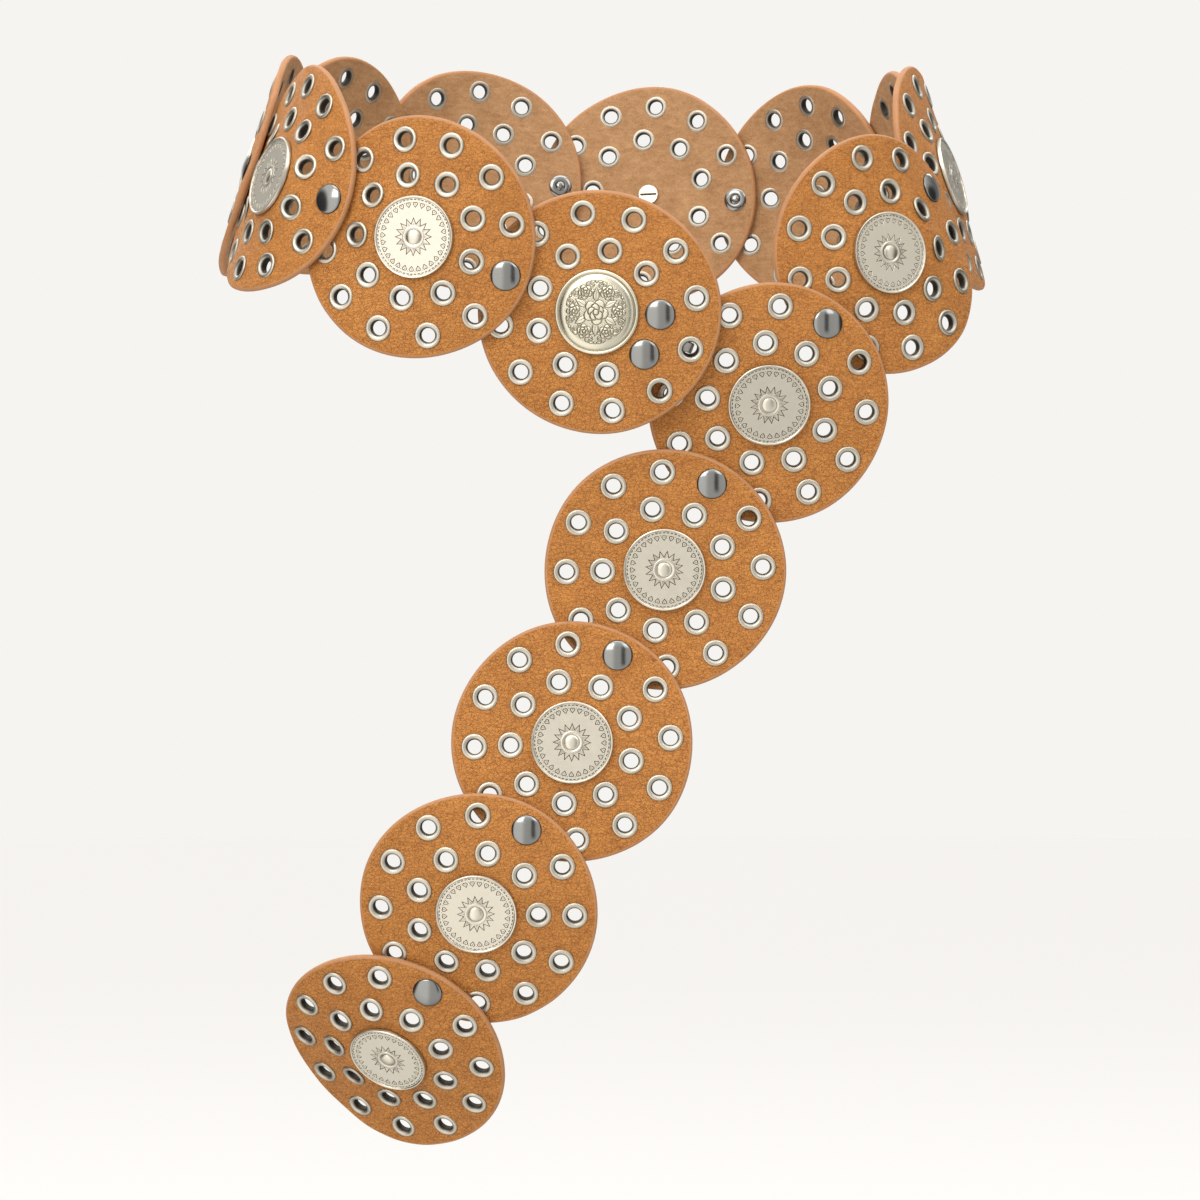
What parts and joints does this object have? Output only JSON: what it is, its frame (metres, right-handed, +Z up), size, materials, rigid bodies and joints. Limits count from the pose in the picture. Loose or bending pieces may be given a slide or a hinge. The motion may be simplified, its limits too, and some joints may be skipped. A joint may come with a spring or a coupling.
{
  "type": "concho belt",
  "caption": "Leather disc concho belt: overlapping eyelet-studded discs riveted into a slung hip loop, hooked at the front, with a hanging tail.",
  "frame": {"origin": "middle of the hip loop, where the wearer's waist passes through, at the height just above the buckle disc's middle", "axes": "+Z up along the wearer, +X to the right as seen from the front, +Y towards the wearer's back; the tail hangs towards -Z in front"},
  "size_m": [0.3289, 0.2676, 0.4735],
  "materials": {
    "leather": "fine-grained tan leather, satin",
    "concho_metal": "antique silver, satin",
    "rivet_metal": "polished gunmetal",
    "hook_metal": "satin nickel"
  },
  "bodies": {
    "root": {"buckle_disc": "leather", "left_disc_1": "leather", "left_disc_2": "leather", "left_disc_3": "leather", "hook_disc": "leather", "right_disc_1": "leather", "right_disc_2": "leather", "tail_disc_1": "leather", "tail_disc_2": "leather", "tail_disc_3": "leather", "tip_disc": "leather", "back_disc_1": "leather", "back_disc_2": "leather", "back_disc_3": "leather", "back_disc_4": "leather", "back_disc_5": "leather", "buckle_concho": "concho_metal", "left_concho_1": "concho_metal", "left_concho_2": "concho_metal", "left_concho_3": "concho_metal", "hook_concho": "concho_metal", "right_concho_1": "concho_metal", "right_concho_2": "concho_metal", "tail_concho_1": "concho_metal", "tail_concho_2": "concho_metal", "tail_concho_3": "concho_metal", "tip_concho": "concho_metal", "back_concho_1": "concho_metal", "back_concho_2": "concho_metal", "back_concho_3": "concho_metal", "back_concho_4": "concho_metal", "back_concho_5": "concho_metal", "joining_rivet_1": "rivet_metal", "joining_rivet_2": "rivet_metal", "joining_rivet_3": "rivet_metal", "joining_rivet_4": "rivet_metal", "joining_rivet_5": "rivet_metal", "joining_rivet_6": "rivet_metal", "joining_rivet_7": "rivet_metal", "joining_rivet_8": "rivet_metal", "joining_rivet_9": "rivet_metal", "joining_rivet_10": "rivet_metal", "joining_rivet_11": "rivet_metal", "joining_rivet_12": "rivet_metal", "joining_rivet_13": "rivet_metal", "joining_rivet_14": "rivet_metal", "joining_rivet_15": "rivet_metal", "hook_rivet_1": "rivet_metal", "hook_rivet_2": "rivet_metal", "buckle_hook": "hook_metal"}
  },
  "joints": []
}
